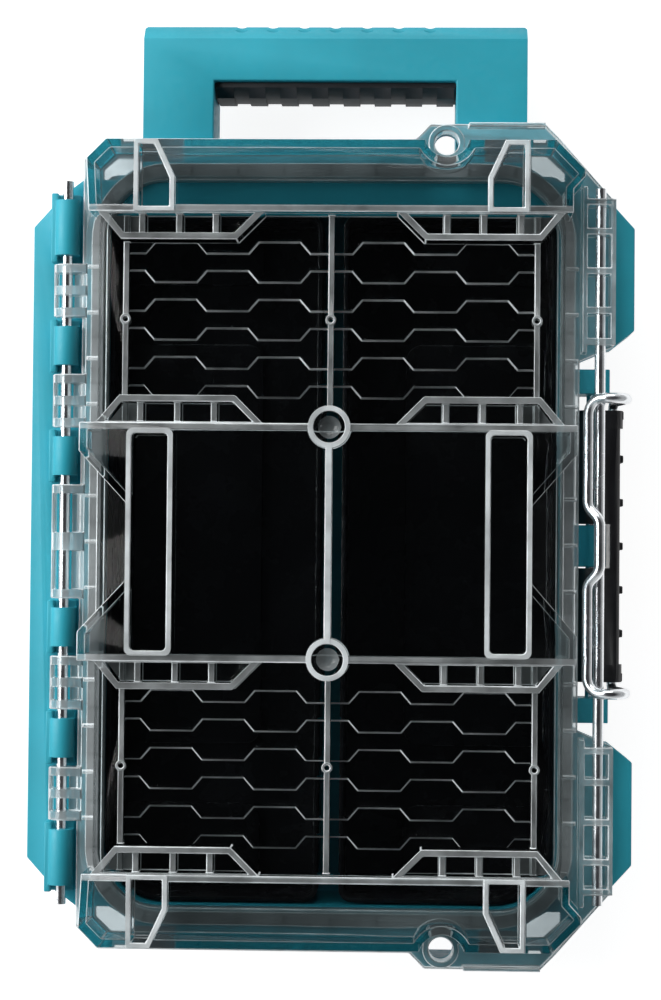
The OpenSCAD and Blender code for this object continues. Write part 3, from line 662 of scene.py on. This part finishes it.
def build_floor():
    """Pale floor: near white to the camera and through the clear lid, with a soft shadow."""
    turns = ((-1, -1), (1, -1), (1, 1), (-1, 1))
    corners = [(x * FLOOR_REACH, y * FLOOR_REACH, -0.02 * MM) for x, y in turns]
    mesh = bpy.data.meshes.new("floor")
    mesh.from_pydata(corners, [], [(0, 1, 2, 3)])
    floor = bpy.data.objects.new("floor", mesh)
    bpy.context.scene.collection.objects.link(floor)
    material = bpy.data.materials.new("floor")
    material.use_nodes = True
    nodes, links = material.node_tree.nodes, material.node_tree.links
    shader = nodes["Principled BSDF"]
    shader.inputs["Base Color"].default_value = (0.34, 0.34, 0.34, 1)
    shader.inputs["Roughness"].default_value = 0.9
    shader.inputs["Specular IOR Level"].default_value = 0.1
    glow = nodes.new("ShaderNodeEmission")
    glow.inputs["Strength"].default_value = FLOOR_GLOW
    seen = nodes.new("ShaderNodeLightPath")
    passing, either = (nodes.new("ShaderNodeMath") for _ in range(2))
    passing.operation = either.operation = "MAXIMUM"
    links.new(seen.outputs["Is Camera Ray"], passing.inputs[0])
    links.new(seen.outputs["Is Transmission Ray"], passing.inputs[1])
    links.new(passing.outputs[0], either.inputs[0])
    links.new(seen.outputs["Is Glossy Ray"], either.inputs[1])
    lit = nodes.new("ShaderNodeMixShader")
    dark = nodes.new("ShaderNodeEmission")
    dark.inputs["Strength"].default_value = 0.0
    both = nodes.new("ShaderNodeAddShader")
    links.new(either.outputs[0], lit.inputs["Fac"])
    links.new(dark.outputs[0], lit.inputs[1])
    links.new(glow.outputs[0], lit.inputs[2])
    links.new(shader.outputs[0], both.inputs[0])
    links.new(lit.outputs[0], both.inputs[1])
    links.new(both.outputs[0], nodes["Material Output"].inputs["Surface"])
    mesh.materials.append(material)


def build_world():
    """Studio walls: bright near the horizon, most of all on the left, and dark overhead."""
    world = bpy.data.worlds.new("studio")
    bpy.context.scene.world = world
    world.use_nodes = True
    nodes, links = world.node_tree.nodes, world.node_tree.links
    place = nodes.new("ShaderNodeTexCoord")
    split = nodes.new("ShaderNodeSeparateXYZ")
    ramp = nodes.new("ShaderNodeValToRGB")
    background = nodes["Background"]
    links.new(place.outputs["Generated"], split.inputs[0])
    links.new(split.outputs["Z"], ramp.inputs["Fac"])
    ramp.color_ramp.elements[0].position = 0.45
    ramp.color_ramp.elements[0].color = (0.92, 0.94, 0.95, 1)
    ramp.color_ramp.elements[1].position = 0.86
    ramp.color_ramp.elements[1].color = (0.05, 0.05, 0.055, 1)
    links.new(ramp.outputs["Color"], background.inputs["Color"])
    side = nodes.new("ShaderNodeMapRange")
    ends = {"From Min": -1.0, "From Max": 1.0, "To Min": WORLD_LEFT, "To Max": WORLD_RIGHT}
    for socket, value in ends.items():
        side.inputs[socket].default_value = value
    links.new(split.outputs["X"], side.inputs["Value"])
    links.new(side.outputs["Result"], background.inputs["Strength"])


def softbox(name, place, size, power, aim=(0, 0, 0.04)):
    light = bpy.data.lights.new(name, "AREA")
    light.shape = "RECTANGLE"
    light.size, light.size_y = size
    light.energy = power
    lamp = bpy.data.objects.new(name, light)
    lamp.location = place
    lamp.rotation_euler = (Vector(aim) - Vector(place)).to_track_quat("-Z", "Y").to_euler()
    bpy.context.scene.collection.objects.link(lamp)


def build_lights():
    softbox("key_left", (-1.3, 0.35, 0.85), (0.9, 1.2), 22)
    softbox("top_end", (-0.2, 1.3, 0.9), (1.2, 0.6), 10)


def dress_case():
    teal, zinc = moulded_teal(), zinc_steel()
    softened("base_shell", 0.4 * MM, [teal])
    softened("handle_frame", 0.7 * MM, [teal], segments=3)
    softened("handle_grip", 0.5 * MM, [grip_rubber()], segments=3, limit=25)
    finishes = lid_finishes()
    cuts = [side * y for side in (-1, 1) for y in (PANEL_END - LID_WALL, WING_FRONT + LID_WALL)]
    lid = softened("lid_shell", 0.36 * MM, list(finishes.values()), segments=1, cuts=cuts)
    sort_lid_faces(lid, finishes)
    softened("latch_lever", 0.4 * MM, [black_lever()])
    bins = black_bin()
    for node in ("bin_left", "bin_right"):
        softened(node, 0.5 * MM, [bins])
    dress("lid_gasket", foam_seal())
    seal_marks(dark_foam())
    wire_bail(zinc)
    for node in ("hinge_rod", "strike_rod", "latch_pin", "handle_screws"):
        dress(node, zinc)


bpy.context.scene.view_settings.view_transform = "Standard"
build_camera()
build_world()
build_floor()
build_lights()
dress_case()
